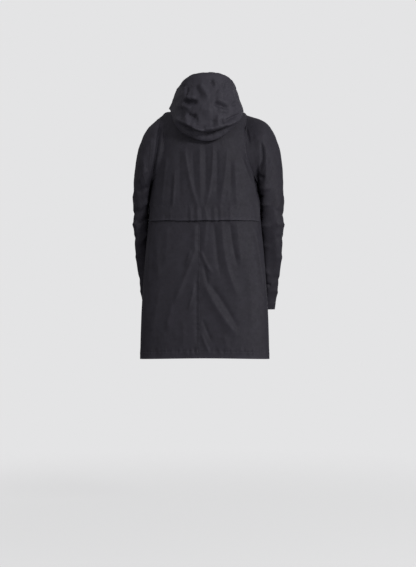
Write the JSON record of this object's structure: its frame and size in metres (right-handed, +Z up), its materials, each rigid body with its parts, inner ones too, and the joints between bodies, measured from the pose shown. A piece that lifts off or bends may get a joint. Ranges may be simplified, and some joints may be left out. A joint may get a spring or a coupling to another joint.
{
  "type": "hooded parka",
  "caption": "Thigh-length hooded parka hanging as worn, hood down, with a free storm flap across the back and set-in sleeves.",
  "frame": {"origin": "middle of the neck opening, level with the nape, where the wearer's neck and shoulders hold the coat", "axes": "+Z up through the neck opening, -Y towards the coat's front, +X towards the wearer's left"},
  "size_m": [0.5828, 0.3858, 1.0812],
  "materials": {
    "shell_cloth": "matte woven",
    "hood_cloth": "matte woven"
  },
  "bodies": {
    "root": {"upper_back": "shell_cloth", "lower_back_left": "shell_cloth", "lower_back_right": "shell_cloth", "front_left": "shell_cloth", "front_right": "shell_cloth", "placket": "shell_cloth", "pocket_welt_left": "shell_cloth", "pocket_welt_right": "shell_cloth", "sleeve_left": "shell_cloth", "sleeve_right": "shell_cloth", "hood_centre": "hood_cloth", "hood_left": "hood_cloth", "hood_right": "hood_cloth"}
  },
  "joints": []
}
